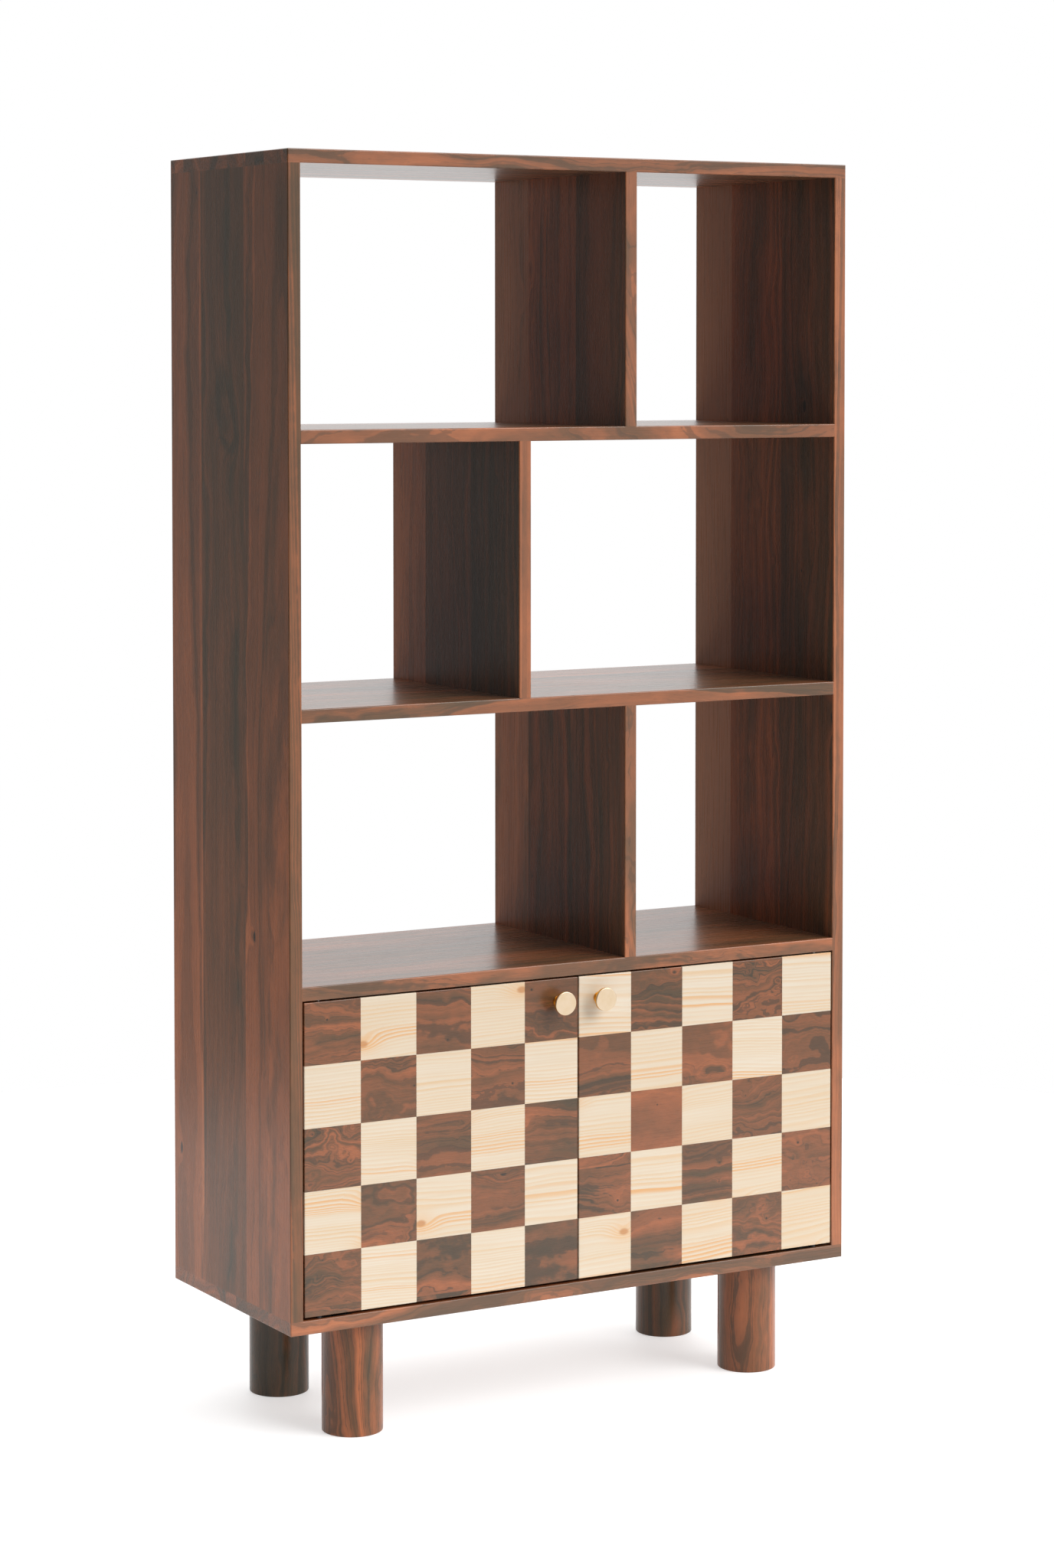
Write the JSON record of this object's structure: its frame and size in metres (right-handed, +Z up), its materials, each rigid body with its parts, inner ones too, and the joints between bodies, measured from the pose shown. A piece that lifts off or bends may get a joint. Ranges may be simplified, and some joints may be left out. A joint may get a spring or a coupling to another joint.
{
  "type": "cube storage unit",
  "caption": "Tall open storage unit of dark boards with staggered dividers, round legs and a low cabinet with two chequered wood doors and round brass knobs.",
  "frame": {"origin": "on the floor, under the middle of the whole unit's box, knobs included", "axes": "+Z up, the doors face -Y, +X to the right seen from the front"},
  "size_m": [0.85, 0.373, 1.658],
  "materials": {
    "dark_board_wood": "satin lacquer over dark, reddish-brown, streaky solid boards",
    "leg_wood": "satin lacquer over turned dark wood",
    "dark_tile_wood": "satin lacquer over dark squares with the grain level",
    "light_tile_wood": "satin lacquer over pale straight-grained squares",
    "door_core_wood": "dark-stained plywood core, satin",
    "back_panel_wood": "dark-stained plywood, satin",
    "dowel_wood": "bare fluted hardwood",
    "knob_brass": "satin brushed",
    "hinge_steel": "brushed, plated",
    "zinc_hardware": "bright zinc plate",
    "magnet": "dull nickel plate",
    "catch_plastic": "fine-grained, moulded",
    "washer_nylon": "smooth, black"
  },
  "bodies": {
    "carcass": {"top_board": "dark_board_wood", "bottom_board": "dark_board_wood", "left_side_panel": "dark_board_wood", "right_side_panel": "dark_board_wood", "upper_shelf": "dark_board_wood", "middle_shelf": "dark_board_wood", "cabinet_top_shelf": "dark_board_wood", "upper_divider": "dark_board_wood", "middle_divider": "dark_board_wood", "lower_divider": "dark_board_wood", "side_panel_dowels": "dowel_wood", "shelf_dowels": "dowel_wood", "divider_dowels": "dowel_wood", "cabinet_back_panel": "back_panel_wood", "back_panel_screws": "zinc_hardware", "leg_front_left": "leg_wood", "leg_front_right": "leg_wood", "leg_rear_left": "leg_wood", "leg_rear_right": "leg_wood", "leg_threaded_inserts": "zinc_hardware", "leg_threaded_rods": "zinc_hardware", "left_carcass_hinge_leaves": "hinge_steel", "right_carcass_hinge_leaves": "hinge_steel", "carcass_hinge_screws": "zinc_hardware", "hinge_pins": "hinge_steel", "hinge_bearing_washers": "washer_nylon", "catch_housings": "catch_plastic", "catch_magnets": "magnet", "catch_screws": "zinc_hardware"},
    "left_door": {"left_door_core": "door_core_wood", "left_door_dark_tiles": "dark_tile_wood", "left_door_light_tiles": "light_tile_wood", "left_door_knob": "knob_brass", "left_door_knob_screw": "zinc_hardware", "left_door_hinge_leaves": "hinge_steel", "left_door_hinge_screws": "zinc_hardware", "left_door_strike_plate": "hinge_steel", "left_door_strike_screw": "zinc_hardware"},
    "right_door": {"right_door_core": "door_core_wood", "right_door_dark_tiles": "dark_tile_wood", "right_door_light_tiles": "light_tile_wood", "right_door_knob": "knob_brass", "right_door_knob_screw": "zinc_hardware", "right_door_hinge_leaves": "hinge_steel", "right_door_hinge_screws": "zinc_hardware", "right_door_strike_plate": "hinge_steel", "right_door_strike_screw": "zinc_hardware"}
  },
  "joints": [
    {"name": "left_door_hinge", "type": "hinge", "parent": "carcass", "child": "left_door", "pos_m": [-0.38128, -0.1565, 0.374], "axis": [0, 0, -1], "range_deg": [0, 130]},
    {"name": "right_door_hinge", "type": "hinge", "parent": "carcass", "child": "right_door", "pos_m": [0.38128, -0.1565, 0.374], "axis": [0, 0, 1], "range_deg": [0, 130]}
  ]
}
